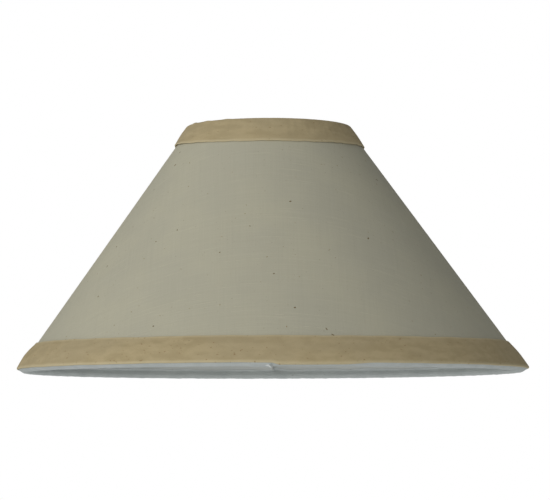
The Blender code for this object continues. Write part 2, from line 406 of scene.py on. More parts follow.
def blend(tree, factor, first, second, how="MIX"):
    """Two colours, or outputs of earlier blends, mixed by a number."""
    node = tree.nodes.new("ShaderNodeMix")
    node.data_type, node.blend_type = "RGBA", how
    tree.links.new(factor.socket, node.inputs["Factor"])
    for entry, value in ((node.inputs[6], first), (node.inputs[7], second)):
        if isinstance(value, tuple):
            entry.default_value = (*value, 1.0)
        else:
            tree.links.new(value, entry)
    return node.outputs[2]


def bump(tree, shader, height, distance, strength=1.0):
    node = tree.nodes.new("ShaderNodeBump")
    node.inputs["Strength"].default_value = strength
    node.inputs["Distance"].default_value = distance
    tree.links.new(height.socket, node.inputs["Height"])
    tree.links.new(node.outputs[0], shader.inputs["Normal"])


def finished(tree, shader, colour, roughness=None):
    tree.links.new(colour, shader.inputs["Base Color"])
    if roughness is not None:
        tree.links.new(roughness.socket, shader.inputs["Roughness"])


# %% [markdown]
# ## A plain weave
#
# In a plain weave each thread goes over one and under the next. Two sine waves do it: their product
# changes sign from one crossing to the next, and that says which thread is on top. Real yarn is
# uneven, so the grid is nudged by noise first, and each thread gets its own shade.

# %% Weave


def weave(tree, place, pitch, turn=0.0, uneven=0.25):
    """The height of a plain weave from 0 to 1, and each thread's own shade from 0 to 1."""
    mapping = tree.nodes.new("ShaderNodeMapping")
    mapping.inputs["Rotation"].default_value = (0, 0, turn)
    tree.links.new(place, mapping.inputs["Vector"])
    across, along, _ = parted(tree, mapping.outputs[0])
    nudge = noise(tree, place, 260.0, detail=2.0, turn=turn) - 0.5
    across = across / pitch + nudge * uneven * 4.0
    along = along / pitch + nudge * uneven * 5.0
    warp = (across * math.pi).math("SINE")
    weft = (along * math.pi).math("SINE")
    over = (warp * weft).steps(-0.35, 0.35)
    warp_round, weft_round = warp.math("ABSOLUTE"), weft.math("ABSOLUTE")
    height = warp_round * over + weft_round * (1.0 - over)
    warp_count = joined(tree, across.math("FLOOR"), (along / 60.0).math("FLOOR"), 0.0)
    weft_count = joined(tree, (across / 75.0).math("FLOOR"), along.math("FLOOR"), 7.0)
    shades = []
    for count in (warp_count, weft_count):
        node = tree.nodes.new("ShaderNodeTexWhiteNoise")
        tree.links.new(count, node.inputs["Vector"])
        shades.append(Number(tree, node.outputs["Value"]))
    shade = shades[0] * over + shades[1] * (1.0 - over)
    return height, shade


# %% [markdown]
# ## Natural muslin
#
# Unbleached muslin is a greyish cream with thick and thin yarns, which show as faint level streaks,
# and a faint scatter of seed husk. The pattern reads the "flat" attribute, so it follows the cloth as
# cut. Colour, roughness and bump all come from the same threads, so they agree. The colour is also
# darkened where the weave dips between threads, which is painted shade.

# %% Muslin


def muslin():
    finish, tree, shader = new_finish("natural_muslin", 0.95, specular=0.15)
    flat = named_place(tree, "flat")
    height, shade = weave(tree, flat, 0.00042)
    streak = noise(tree, flat, 1500.0, stretch=(45, 1, 1), detail=4.0)
    warp_streak = noise(tree, flat, 1300.0, stretch=(1, 60, 1), detail=3.0)
    cloud = noise(tree, flat, 22.0, detail=4.0)
    husk = noise(tree, flat, 900.0, detail=1.0)
    colour = blend(tree, cloud.steps(0.35, 0.7), (0.515, 0.497, 0.395), (0.550, 0.528, 0.408))
    colour = blend(tree, streak.steps(0.42, 0.72) * 0.24, colour, (0.605, 0.582, 0.470))
    colour = blend(tree, warp_streak.steps(0.50, 0.75) * 0.16, colour, (0.43, 0.415, 0.325))
    # painted shade: the colour darkens where the weave dips between threads
    colour = blend(tree, (1.0 - height) * 0.30, colour, (0.30, 0.28, 0.20))
    colour = blend(tree, shade * 0.14, colour, (0.36, 0.335, 0.25))
    colour = blend(tree, husk.steps(0.735, 0.80) * 0.55, colour, (0.20, 0.14, 0.07))
    finished(tree, shader, colour, height.steps(0.0, 1.0, 0.98, 0.86))
    bump(tree, shader, height + streak * 0.7 + warp_streak * 0.3, 0.00006)
    return finish


MUSLIN = muslin()
print("muslin threads every 0.42 mm")

# %% [markdown]
# ## Liner, tapes, glue film and metal
#
# The liner is styrene sheet, satin white and slightly cloudy. The tapes are cotton. The tan one is
# cut on the bias so that it bends round the rim, so its weave lies at 45 degrees. Each tape's folded
# edges are painted paler, a painted highlight where the folds catch the light. The wire is plated
# and a little dulled.

# %% Styrene liner and seam tape


def styrene():
    finish, tree, shader = new_finish("white_styrene", 0.5, specular=0.45)
    flat = named_place(tree, "flat")
    cloud = noise(tree, flat, 30.0, detail=3.0)
    drag = noise(tree, flat, 700.0, stretch=(1, 40, 1), detail=2.0)
    weave_through, _ = weave(tree, flat, 0.00042)
    colour = blend(tree, cloud.steps(0.3, 0.7), (0.500, 0.512, 0.490), (0.545, 0.552, 0.525))
    colour = blend(tree, drag.steps(0.55, 0.8) * 0.25, colour, (0.44, 0.448, 0.425))
    finished(tree, shader, colour, cloud.steps(0.3, 0.7, 0.42, 0.58))
    bump(tree, shader, weave_through * 0.35 + drag * 0.6, 0.00004)
    return finish


def glue_film():
    finish, tree, shader = new_finish("adhesive_film", 0.35, specular=0.5)
    place = object_place(tree)
    bubbles = noise(tree, place, 900.0, detail=2.0)
    yellow = noise(tree, place, 40.0, detail=2.0)
    colour = blend(tree, yellow.steps(0.3, 0.7), (0.55, 0.52, 0.42), (0.60, 0.58, 0.50))
    finished(tree, shader, colour, bubbles.steps(0.4, 0.7, 0.25, 0.5))
    bump(tree, shader, bubbles, 0.00005)
    return finish


STYRENE, GLUE_FILM = styrene(), glue_film()

# %% Cotton tapes


def cotton_tape(name, tones, pitch, turn, fold_highlight_tone, freckle, fold_highlight_width):
    """Cotton tape on its own "tape" attribute: length, width across, and distance from a fold."""
    finish, tree, shader = new_finish(name, 0.95, specular=0.12)
    tape = named_place(tree, "tape")
    _, _, from_fold = parted(tree, tape)
    height, shade = weave(tree, tape, pitch, turn=turn)
    mottle = noise(tree, tape, 170.0, stretch=(1.6, 1, 1), detail=5.0)
    cloud = noise(tree, tape, 28.0, detail=2.0)
    dots = noise(tree, tape, 620.0, detail=1.0)
    colour = blend(tree, mottle.steps(0.34, 0.66), tones[0], tones[1])
    colour = blend(tree, cloud.steps(0.35, 0.65) * 0.4, colour, tones[2])
    # painted shade: the colour darkens where the weave dips between threads
    colour = blend(tree, (1.0 - height) * 0.30, colour, tuple(0.55 * part for part in tones[0]))
    colour = blend(tree, shade * 0.12, colour, tuple(0.70 * part for part in tones[0]))
    # painted highlight: the colour turns paler along each folded edge, where the fold catches the light
    colour = blend(tree, from_fold.steps(0.0, fold_highlight_width, 0.60, 0.0), colour, fold_highlight_tone)
    colour = blend(tree, dots.steps(0.70, 0.77) * 0.7, colour, freckle)
    finished(tree, shader, colour, mottle.steps(0.3, 0.7, 0.86, 0.98))
    bump(tree, shader, height + mottle * 1.5, 0.00006)
    return finish


# the paler tone and the width just before the freckle colour give the painted highlight on the folds
TAN_TAPE = cotton_tape(
    "tan_cotton_tape", ((0.465, 0.375, 0.216), (0.545, 0.445, 0.264), (0.49, 0.412, 0.265)),
    0.00036, math.radians(45), (0.615, 0.535, 0.350), (0.26, 0.15, 0.06), 0.0017,
)
WHITE_TAPE = cotton_tape(
    "white_cotton_tape", ((0.525, 0.557, 0.548), (0.60, 0.628, 0.618), (0.555, 0.583, 0.583)),
    0.00040, 0.0, (0.69, 0.71, 0.70), (0.42, 0.42, 0.39), 0.0006,
)

# %% Plated wire


def plated_wire(name, tone, dull_tone, roughness):
    finish, tree, shader = new_finish(name, roughness, metallic=1.0)
    place = object_place(tree)
    dulling = noise(tree, place, 240.0, detail=5.0)
    draw_lines = noise(tree, place, 2600.0, stretch=(1, 1, 6), detail=2.0)
    pits = noise(tree, place, 1500.0, detail=1.0)
    colour = blend(tree, dulling.steps(0.40, 0.70), tone, dull_tone)
    colour = blend(tree, pits.steps(0.68, 0.76) * 0.6, colour, (0.16, 0.11, 0.07))
    finished(tree, shader, colour, dulling.steps(0.3, 0.75, roughness - 0.1, roughness + 0.22))
    bump(tree, shader, draw_lines + pits * 0.5, 0.00003)
    return finish


RING_WIRE = plated_wire("zinc_ring_wire", (0.56, 0.55, 0.52), (0.36, 0.35, 0.33), 0.38)
FITTER_WIRE = plated_wire("nickel_fitter_wire", (0.62, 0.59, 0.53), (0.45, 0.42, 0.37), 0.30)
WELD = plated_wire("weld_scale", (0.34, 0.30, 0.26), (0.20, 0.17, 0.14), 0.50)
print("finishes:", sorted(m.name for m in bpy.data.materials if m.use_nodes))

# %% [markdown]
# ## The liner and the cover
#
# Both sheets come from the panel tree, one outside the other, as they are laminated in the real
# shade. Solidify then gives each its thickness, outwards from the inner face.

# %% Roll the two sheets
PANEL = panel_tree()
liner = grow(
    "liner", PANEL, Columns=PANEL_COLUMNS, Rows=41, Length=panel_length, Out=LINER_OUT,
    Lap_Width=LAP_WIDTH, Finish=STYRENE, wall=LINER_THICK, **WALL_SIZES,
)
cover = grow(
    "cover", PANEL, Columns=PANEL_COLUMNS, Rows=61, Length=panel_length, Out=COVER_OUT,
    Lap_Width=LAP_WIDTH, Finish=MUSLIN, wall=COVER_THICK, **WALL_SIZES,
)

# %% [markdown]
# ## Slubs, neps and seed husk
#
# Slubs are thick places in a yarn. They are laid on the flat fan, straight along the weft, and then
# rolled up by the same rule as the cloth, so even a long one bends round the cone with it. Scattering
# straight pieces on the finished cone would leave their ends in the air.

# %% The scatter tree
SCATTER_LABELS = (
    "Count", "Seed", "Longest", "Shortest", "Widest", "Narrowest", "Proud", "Any Way",
    "Length", "Out", *WALL_LABELS, "Finish",
)


def picked(tree, seed, low, high, number):
    """A random number for each point. Each use has its own number, added to the seed."""
    node = tree.nodes.new("FunctionNodeRandomValue")
    node.data_type = "FLOAT"
    own = tree.nodes.new("ShaderNodeMath")
    own.operation = "ADD"
    tree.links.new(seed, own.inputs[0])
    own.inputs[1].default_value = number
    tree.links.new(own.outputs[0], node.inputs["Seed"])
    feed(tree, node.inputs[2:4], (low, high))
    return Number(tree, node.outputs[1])


def scatter_tree():
    tree, given = new_tree("scatter_in_cloth", SCATTER_LABELS)
    seed = given["Seed"]
    sine = given["Slope"].math("SINE")
    foot_slant = given["Foot Radius"] / sine

    long_share = picked(tree, seed, 0.0, 1.0, 1).math("POWER", 2.2)
    long = given["Shortest"] + (given["Longest"] - given["Shortest"]) * long_share
    wide = picked(tree, seed, given["Narrowest"], given["Widest"], 2)
    edge = long * 0.5 + 0.004
    reach = (foot_slant - edge).math("POWER", 2.0)
    least = (foot_slant - given["Length"] + edge).math("POWER", 2.0)
    slant = (least + (reach - least) * picked(tree, seed, 0.0, 1.0, 3)).math("SQRT")
    margin = edge / (slant * sine)
    turn = margin + (TURN - margin * 2.0) * picked(tree, seed, 0.0, 1.0, 4)
    fan = (turn - math.pi) * sine

    points = tree.nodes.new("GeometryNodePoints")
    tree.links.new(given["Count"], points.inputs["Count"])
    flat = joined(tree, slant * fan.math("SINE"), slant * fan.math("COSINE") * -1.0, 0.0)
    tree.links.new(flat, points.inputs["Position"])

    grain = tree.nodes.new("GeometryNodeMeshUVSphere")
    grain.inputs["Segments"].default_value = 6
    grain.inputs["Rings"].default_value = 8
    grain.inputs["Radius"].default_value = 0.5
    laid = tree.nodes.new("GeometryNodeTransform")
    laid.inputs["Rotation"].default_value = (0.0, math.pi / 2, 0.0)
    tree.links.new(grain.outputs["Mesh"], laid.inputs["Geometry"])

    copies = tree.nodes.new("GeometryNodeInstanceOnPoints")
    tree.links.new(points.outputs[0], copies.inputs["Points"])
    tree.links.new(laid.outputs[0], copies.inputs["Instance"])
    swing = picked(tree, seed, given["Any Way"] * -1.0, given["Any Way"], 5)
    tree.links.new(joined(tree, 0.0, 0.0, swing), copies.inputs["Rotation"])
    proud = given["Proud"] * picked(tree, seed, 1.2, 2.4, 6)
    tree.links.new(joined(tree, long, wide, proud), copies.inputs["Scale"])
    real = tree.nodes.new("GeometryNodeRealizeInstances")
    tree.links.new(copies.outputs[0], real.inputs[0])

    x, y, z = parted(tree, tree.nodes.new("GeometryNodeInputPosition").outputs[0])
    own_slant = (x * x + y * y).math("SQRT")
    own_fan = x.math("ARCTAN2", y * -1.0)
    own_turn = own_fan / sine + math.pi
    place = rolled(tree, given, own_turn, foot_slant - own_slant, given["Out"] + z)
    move = tree.nodes.new("GeometryNodeSetPosition")
    tree.links.new(place, move.inputs["Position"])
    # stored before the move, while the points still lie on the flat fan
    on_fan = tree.nodes.new("GeometryNodeInputPosition").outputs[0]
    tree.links.new(keep_flat(tree, real.outputs[0], on_fan), move.inputs["Geometry"])
    hand_over(tree, move.outputs[0], given["Finish"])
    return tree


# %% Yarn and husk finishes


def yarn(name, tone, dark):
    finish, tree, shader = new_finish(name, 0.95, specular=0.15)
    flat = named_place(tree, "flat")
    twist = noise(tree, flat, 2400.0, stretch=(1, 3, 1), detail=2.0, turn=0.6)
    patch = noise(tree, flat, 120.0, detail=2.0)
    colour = blend(tree, twist.steps(0.4, 0.65) * 0.6, tone, dark)
    colour = blend(tree, patch.steps(0.4, 0.7) * 0.4, colour, tuple(1.08 * part for part in tone))
    finished(tree, shader, colour, twist.steps(0.3, 0.7, 0.85, 0.98))
    bump(tree, shader, twist, 0.00006)
    return finish


SLUB_YARN = yarn("slub_yarn", (0.535, 0.512, 0.400), (0.45, 0.43, 0.33))
HUSK = yarn("seed_husk", (0.215, 0.165, 0.090), (0.13, 0.095, 0.05))
PALE_HUSK = yarn("pale_husk", (0.34, 0.27, 0.155), (0.26, 0.195, 0.10))

# %% Scatter them in the cover
SCATTER = scatter_tree()
ON_COVER = dict(Length=panel_length, Out=COVER_FACE, **WALL_SIZES)
slubs = grow(
    "cover_slubs", SCATTER, Count=420, Seed=11, Longest=0.034, Shortest=0.005, Widest=0.00050,
    Narrowest=0.00026, Proud=0.00004, Any_Way=0.02, Finish=SLUB_YARN, **ON_COVER,
)
dark_husk = grow(
    "cover_husk_dark", SCATTER, Count=52, Seed=5, Longest=0.0021, Shortest=0.0009, Widest=0.0011,
    Narrowest=0.0006, Proud=0.00010, Any_Way=3.1, Finish=HUSK, **ON_COVER,
)
pale_husk = grow(
    "cover_husk_pale", SCATTER, Count=320, Seed=29, Longest=0.0013, Shortest=0.0004, Widest=0.0007,
    Narrowest=0.0003, Proud=0.00008, Any_Way=3.1, Finish=PALE_HUSK, **ON_COVER,
)

# %% [markdown]
# ## Tapes: one section carried round
#
# A tape is drawn once as a line in the wall's own measures, from one edge to the other, and given
# its thickness. The section is then carried round the shade. Where the panel laps, the tape climbs
# over it, and each tape's own end folds over its start, as a hand-laid tape does.

# %% Waves and section helpers
chance = np.random.default_rng(41)


def waves(turn, counts, size):
    """Uneven waves round the rim that meet themselves, about this size either way."""
    total = np.zeros_like(turn)
    for count in counts:
        total += chance.uniform(0.5, 1.0) * np.sin(count * turn + chance.uniform(0, TURN))
    return size * total / math.sqrt(len(counts))


def soft_step(value, low, high):
    share = np.clip((value - low) / (high - low), 0, 1)
    return share * share * (3 - 2 * share)


def arc(middle, radius, first, last, steps):
    """Points (from edge, out) round a middle, turning from "out" towards the edge and past it."""
    turns = np.linspace(first, last, steps + 1)
    return [(middle[0] - radius * math.sin(t), middle[1] + radius * math.cos(t)) for t in turns]


def evenly(points, count):
    """The same line with its points the same distance apart."""
    points = np.array(points)
    lengths = np.concatenate([[0], np.cumsum(np.linalg.norm(np.diff(points, axis=0), axis=1))])
    wanted = np.linspace(0, lengths[-1], count)
    line = np.stack([np.interp(wanted, lengths, points[:, axis]) for axis in (0, 1)], axis=-1)
    return line, lengths[-1]


def from_seam(turn, radius):
    """The length round the rim past the lap seam, which is negative before it."""
    return ((turn - SEAM_TURN + math.pi) % TURN - math.pi) * radius


def panel_lift(turn, radius):
    """How far the panel's lap lifts a tape outside it, from 0 to 1."""
    past = from_seam(turn, radius)
    rise = soft_step(past, -RISE_WIDTH - 0.001, RISE_END)
    return rise * (1 - soft_step(past, LAP_WIDTH, LAP_WIDTH + DROP_WIDTH))


# %% Lay a tape
CLIMB = 0.004                    # a tape's end climbs over its own start within this length
FOLD_WIDTH = 0.0007              # the thick bead along a folded edge
NOSE_SHARE = 0.42                # how round an edge is, as a share of the thickness


def lay_tape(
    name, finish, points, count, thick, columns, start, overlap, at_top,
    ruffle, lifted_to, bead=0.0, leg_inside=False,
):
    """A closed tape once round the rim from this turn, its last part over its first.

    ruffle(turn, width, length) gives the push along the tape's face and square to it. A leg that
    is glued inside follows the liner out to the seam, and comes back over the sheet's first edge.
    """
    line, wide = evenly(points, count)
    across = np.linspace(0, wide, count)
    rim_radius = foot.x + upslope.x * (panel_length if at_top else 0.0)
    turns = start + np.linspace(0, TURN + overlap / rim_radius, columns)
    length = (turns - start) * rim_radius
    over = soft_step(length, length[-1] - overlap - CLIMB, length[-1] - overlap)
    ended = np.minimum(length, length[-1] - length)

    heading = np.gradient(line, axis=0)
    heading /= np.linalg.norm(heading, axis=1)[:, None]
    facing = np.stack([heading[:, 1], -heading[:, 0]], axis=-1)
    lift_share = soft_step(line[:, 1], lifted_to - 0.0012, lifted_to)

    grid_turn, grid_across = np.meshgrid(turns, across, indexing="ij")
    slide, swell = ruffle(grid_turn, grid_across, wide)
    lift = panel_lift(grid_turn, rim_radius) * LAP_RISE * lift_share[None, :]
    if leg_inside:
        past = from_seam(grid_turn, rim_radius)
        recess = soft_step(past, -RISE_WIDTH, RISE_END) * (1 - soft_step(past, RISE_END, 0.0004))
        lift = lift + recess * LAP_RISE * soft_step(across, wide - 0.0022, wide - 0.0012)[None, :]
    rounded = np.sqrt(np.clip(ended / (0.5 * thick), 0.16, 1))[:, None]
    fold = np.exp(-((across / FOLD_WIDTH) ** 2)) + 0.7 * np.exp(-(((wide - across) / FOLD_WIDTH) ** 2))
    half = 0.5 * (thick + bead * fold)[None, :] * rounded

    sides = []
    for side in (1, -1):
        away = swell + over[:, None] * (thick + 2 * TOUCH) + side * half
        sides.append(line[None] + heading[None] * slide[..., None] + facing[None] * away[..., None])
    outer, inner = sides
    rows = []
    for spot in (outer, inner):
        edge, out = spot[..., 0], spot[..., 1] + lift
        along = panel_length - edge if at_top else edge
        rows.append(wall_points(along, out, grid_turn))
    # the folded edges are rounded by one more row of points between the two faces
    nose = NOSE_SHARE * thick
    ends = []
    for spot_index, sign in ((0, -1), (-1, 1)):
        middle = (outer[:, spot_index] + inner[:, spot_index]) / 2 + sign * nose * heading[spot_index]
        along = panel_length - middle[:, 0] if at_top else middle[:, 0]
        ends.append(wall_points(along, middle[:, 1] + lift[:, spot_index], turns))
    ring = np.concatenate([ends[0][:, None], rows[0], ends[1][:, None], rows[1][:, ::-1]], axis=1)
    width = np.concatenate([[0.0], across, [wide], across[::-1]])
    tape = skin(name, finish, ring, length, width)
    print(f"  {1e3 * wide:.1f} mm wide, {1e3 * length[-1]:.0f} mm long")
    tape["cut"] = [wide, float(length[-1])]
    return tape


def skin(name, finish, ring, length, width):
    """Faces round a stack of closed rings, capped at both ends, with each point's place on the tape."""
    columns, around = ring.shape[:2]
    shape = bmesh.new()
    verts = [shape.verts.new(point) for point in ring.reshape(-1, 3)]
    for column in range(columns - 1):
        for step in range(around):
            after = (step + 1) % around
            here, there = column * around, (column + 1) * around
            corners = (here + step, here + after, there + after, there + step)
            shape.faces.new([verts[corner] for corner in corners])
    shape.faces.new(verts[:around][::-1])
    shape.faces.new(verts[-around:])
    bmesh.ops.recalc_face_normals(shape, faces=shape.faces[:])
    piece = new_piece(name, shape, finish)
    places = np.zeros((columns, around, 3), np.float32)
    places[..., 0] = length[:, None]
    places[..., 1] = width[None]
    places[..., 2] = np.minimum(width, width.max() - width)[None]
    stored = piece.data.attributes.new("tape", "FLOAT_VECTOR", "POINT")
    stored.data.foreach_set("vector", places.ravel())
    print(f"{name}: {len(piece.data.polygons)} faces")
    return piece


# %% [markdown]
# ## The white bindings
#
# Thin cotton tape holds the panel to each ring: a short leg outside, hidden by the trim, a turn
# round the wire, and a leg glued up the inside. Cotton pulled round a curve has nowhere to put its
# spare width, so the roll is crossed by small slanting creases, and the inner edge wanders.

# %% Bind both rims
BINDING_THICK = 0.00040
BINDING_OUTER_LEG, BINDING_INNER_LEG, BINDING_RETURN = 0.005, 0.0048, math.radians(70)
BOTTOM_BINDING_OVERLAP, BOTTOM_BINDING_END_X = 0.010, -0.0004


def binding_line():
    """From the outer leg's edge, round the wire, to the inner leg's edge."""
    half = BINDING_THICK / 2
    ring = (wire_radius, -RING_GAP - wire_radius)
    roll = wire_radius + RING_GAP + half
    edge_out = COVER_FACE + TOUCH + half
    round_ring = arc(ring, roll, math.pi / 2, math.pi + BINDING_RETURN, 24)
    inner = LINER_OUT - half - TOUCH
    meeting = round_ring[-1][0] + (inner - round_ring[-1][1]) / math.tan(BINDING_RETURN)
    corner = edge_out - COVER_FACE
    rounding = arc((-RING_GAP, COVER_FACE - 0.0002), corner + 0.0002, 0.0, math.pi / 2, 6)
    leg = [(meeting, inner), (BINDING_INNER_LEG, inner)]
    return [(BINDING_OUTER_LEG, edge_out), *rounding, *round_ring, *leg]


def creases(turn, across, wide, size):
    """Slanting creases, deepest on the roll and fading on both legs."""
    on_roll = soft_step(across, 0.004, 0.007) * (1 - 0.65 * soft_step(across, 0.012, 0.016))
    total = np.zeros_like(turn)
    for count, slant in ((61, 310), (97, -260), (143, 420), (211, 350), (38, 150)):
        local = 0.6 + 0.4 * np.sin(chance.integers(3, 9) * turn + chance.uniform(0, TURN))
        wave = np.sin(count * turn + slant * across + chance.uniform(0, TURN))
        total += local * chance.uniform(0.5, 1.0) * wave * np.abs(wave) ** 0.5
    return size * on_roll * total


def binding_ruffle(size):
    """Creases, and an inner edge that wanders."""

    def ruffle(turn, across, wide):
        edge = soft_step(across, wide - 0.0011, wide)
        slide = edge * waves(turn, (7, 13, 22, 31, 47), 0.00045)
        return slide, creases(turn, across, wide, size)

    return ruffle


bottom_binding = lay_tape(
    "bottom_rim_binding", WHITE_TAPE, binding_line(), 40, BINDING_THICK, 1150,
    FRONT_TURN + (BOTTOM_BINDING_END_X - BOTTOM_BINDING_OVERLAP) / bottom_radius,
    BOTTOM_BINDING_OVERLAP, False, binding_ruffle(0.00007), 0.0010, leg_inside=True,
)
top_binding = lay_tape(
    "top_rim_binding", WHITE_TAPE, binding_line(), 40, BINDING_THICK, 620, SEAM_TURN + 0.45,
    0.008, True, binding_ruffle(0.00005), 0.0010, leg_inside=True,
)

# %% [markdown]
# ## The tan trims
#
# A folded bias tape is glued over each rim. It is soft and double, so it crowns a little between
# its folds, steps down to the cover at the inner fold, and turns over the rim at the other.

# %% Trim both rims
TRIM_THICK = 0.00080
BOTTOM_TRIM_FACE, BOTTOM_TRIM_CURL = 0.0172, math.radians(50)
TOP_TRIM_FACE, TOP_TRIM_TURN_IN = 0.0157, 0.0018
TRIM_AT_RIM = 0.00119            # the tape's middle line outside the cover, over the binding
TOP_PUCKERS = ((207, 0.9), (222, 0.7), (240, 0.6))    # degrees round the rim, and strength


def trim_line(at_top):
    """From the fold on the cover, over the binding, to the fold past the rim."""
    face = TOP_TRIM_FACE if at_top else BOTTOM_TRIM_FACE
    low = TOUCH + TRIM_THICK / 2
    full = 0.0045 if at_top else 0.0058
    climb = [(s, math.sin(math.pi / 2 * s) ** 0.9) for s in np.linspace(0, 1, 14)]
    points = [
        (face + (full - face) * s, COVER_FACE + low + (TRIM_AT_RIM - low) * rise) for s, rise in climb
    ]
    if at_top:
        points += arc((0.0, COVER_FACE), TRIM_AT_RIM, 0.0, math.pi / 2, 12)
        points.append((-TRIM_AT_RIM, COVER_FACE - TOP_TRIM_TURN_IN))
    else:
        points += arc((0.0, COVER_FACE), TRIM_AT_RIM, 0.0, BOTTOM_TRIM_CURL, 8)
    return points


def trim_ruffle(edge_size, face_size, crown, lump=0.0, narrow=(0.0, 0.0), low_front=0.0):
    """Edges that wander, a face that puckers slightly, and a crown that changes round the rim.

    narrow is how much less tape shows at the left and at the right, lump is the height of the few
    puckers at the top, and low_front is how far the rim's fold hangs down just right of the front.
    """

    def ruffle(turn, across, wide):
        first, last = 1 - soft_step(across, 0, 0.005), soft_step(across, wide - 0.003, wide)
        slide = first * waves(turn, (5, 9, 17, 26, 41), edge_size)
        slide += last * waves(turn, (6, 11, 19, 37), edge_size * 0.6)
        at_left = np.clip(-np.cos(turn), 0, 1) ** 3
        at_right = np.clip(np.cos(turn), 0, 1) ** 3
        slide += (1 - across / wide) * (narrow[0] * at_left + narrow[1] * at_right)
        past_front = ((turn - FRONT_TURN + math.pi) % TURN - math.pi) * bottom_radius
        hangs = across / wide * low_front * soft_step(past_front, -0.001, 0.004)
        slide += hangs * (1 - soft_step(past_front, 0.034, 0.056))
        middle = np.sin(math.pi * np.clip(across / wide, 0, 1)) ** 1.5
        left = 0.5 + 0.5 * np.cos(turn - math.pi)
        swell = middle * crown * (0.35 + 0.65 * left)
        for count, slant in ((23, 90), (37, -120), (58, 160), (83, -60)):
            wave = np.sin(count * turn + slant * across + chance.uniform(0, TURN))
            swell += face_size * middle * wave / 2
        for degrees, size in TOP_PUCKERS:
            near = np.exp(-(((turn % TURN) - math.radians(degrees)) / 0.05) ** 2)
            swell += lump * size * near * soft_step(across, wide - 0.008, wide - 0.004)
        return slide, swell

    return ruffle


bottom_ruffle = trim_ruffle(0.00022, 0.00005, 0.00060, narrow=(-0.0004, -0.0010), low_front=0.0012)
top_ruffle = trim_ruffle(0.00018, 0.00006, 0.00012, lump=0.00045, narrow=(0.0032, 0.0017))
bottom_trim = lay_tape(
    "bottom_trim_tape", TAN_TAPE, trim_line(False), 44, TRIM_THICK, 1000, SEAM_TURN + 0.24,
    0.009, False, bottom_ruffle, 0.0, bead=0.00014,
)
top_trim = lay_tape(
    "top_trim_tape", TAN_TAPE, trim_line(True), 44, TRIM_THICK, 560, SEAM_TURN + 0.55,
    0.008, True, top_ruffle, 0.0, bead=0.00010,
)

# %% [markdown]
# ## The loose corner of the binding
#
# At the front the binding's end lies over its start, and one corner has come unstuck and hangs as a
# tiny curl. It is a short strip swept along a bent line, thinner and narrower towards its tip.

# %% The curl
CURL_X = -0.0011


def binding_curl():
    low = bottom_height - wire_radius - RING_GAP - BINDING_THICK
    bend = [        # along the rim, down, forward, and how wide the strip still is
        (-0.0046, 0.0005, 0.0010, 0.0013), (-0.0031, 0.0004, 0.0019, 0.0014),
        (-0.0019, 0.0001, 0.0025, 0.0013), (-0.0011, -0.0003, 0.0029, 0.0012),
        (-0.0005, -0.0008, 0.0031, 0.0010), (0.0000, -0.0012, 0.0031, 0.0007),
        (0.0002, -0.0016, 0.0029, 0.0004),
    ]
    rings = []
    for (x, drop, forward, width), (nx, ndrop, *_) in zip(bend, bend[1:] + [(0.0003, -0.0019)]):
        heading = Vector((nx - x, 0, ndrop - drop)).normalized()
        side = Vector((0, 1, 0)).cross(heading)
        for_depth = Vector((0, 1, 0))
        middle = Vector((CURL_X + x, -bottom_radius - forward, low + 0.0006 + drop))
        corners = [(1, 1), (0, 1.25), (-1, 1), (-1, -1), (0, -1.25), (1, -1)]
        rings.append([middle + side * a * width / 2 + for_depth * b * 0.00018 for a, b in corners])
    ring = np.array(rings)
    steps = np.linspace(0, 0.006, len(rings))
    shape = skin("binding_curl", WHITE_TAPE, ring, steps, np.linspace(0.003, 0.004, 6))
    subdivide = shape.modifiers.new("soften", "SUBSURF")
    subdivide.levels = subdivide.render_levels = 2
    return plain_mesh(shape)


curl = binding_curl()

# %% [markdown]
# ## Wires: spider arms, welds and washer
#
# Three bent wires run from the top ring down to a washer that drops over the harp's screw. Real arms
# are cold-bent and spot-welded, so the bends are round, the tips are pressed flat under the washer,
# and each weld leaves a small uneven bead.

# %% Bent arms
ARM_COUNT, ARM_BEND, ARM_SLOPE = 3, 0.005, math.radians(50)
ARM_BELOW_RING, ARM_RUN, ARM_PAST_HOLE = 0.0006, 0.005, 0.003
FITTER_DROP, HOLE_RADIUS = 0.0127, 0.0111 / 2
washer_low, washer_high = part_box("spider_washer")
washer_radius = (washer_high.x - washer_low.x) / 2
washer_middle = (washer_low + washer_high) / 2
arm_low, arm_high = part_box("spider_arm_1")
arm_radius = (arm_high.x - arm_low.x) / 2


def arm_corners():
    """Radius and height of the arm's ends and bends, from the ring in to the washer."""
    start = Vector((top_radius - wire_radius - RING_GAP, top_height - ARM_BELOW_RING))
    first = start - Vector((ARM_RUN, 0.0))
    second = first - Vector((FITTER_DROP / math.tan(ARM_SLOPE), FITTER_DROP))
    return [start, first, second, Vector((HOLE_RADIUS + ARM_PAST_HOLE, second.y))]


def bent_wire(corners, bend, steps):
    points = [corners[0]]
    for before, corner, after in zip(corners, corners[1:], corners[2:]):
        arriving, leaving = (corner - before).normalized(), (after - corner).normalized()
        turn = arriving.angle(leaving)
        inward = (leaving - arriving * math.cos(turn)).normalized()
        start = corner - arriving * bend * math.tan(turn / 2)
        for step in range(steps + 1):
            part = turn * step / steps
            points.append(start + arriving * bend * math.sin(part) + inward * bend * (1 - math.cos(part)))
    return evenly([tuple(p) for p in points + [corners[-1]]], 90)


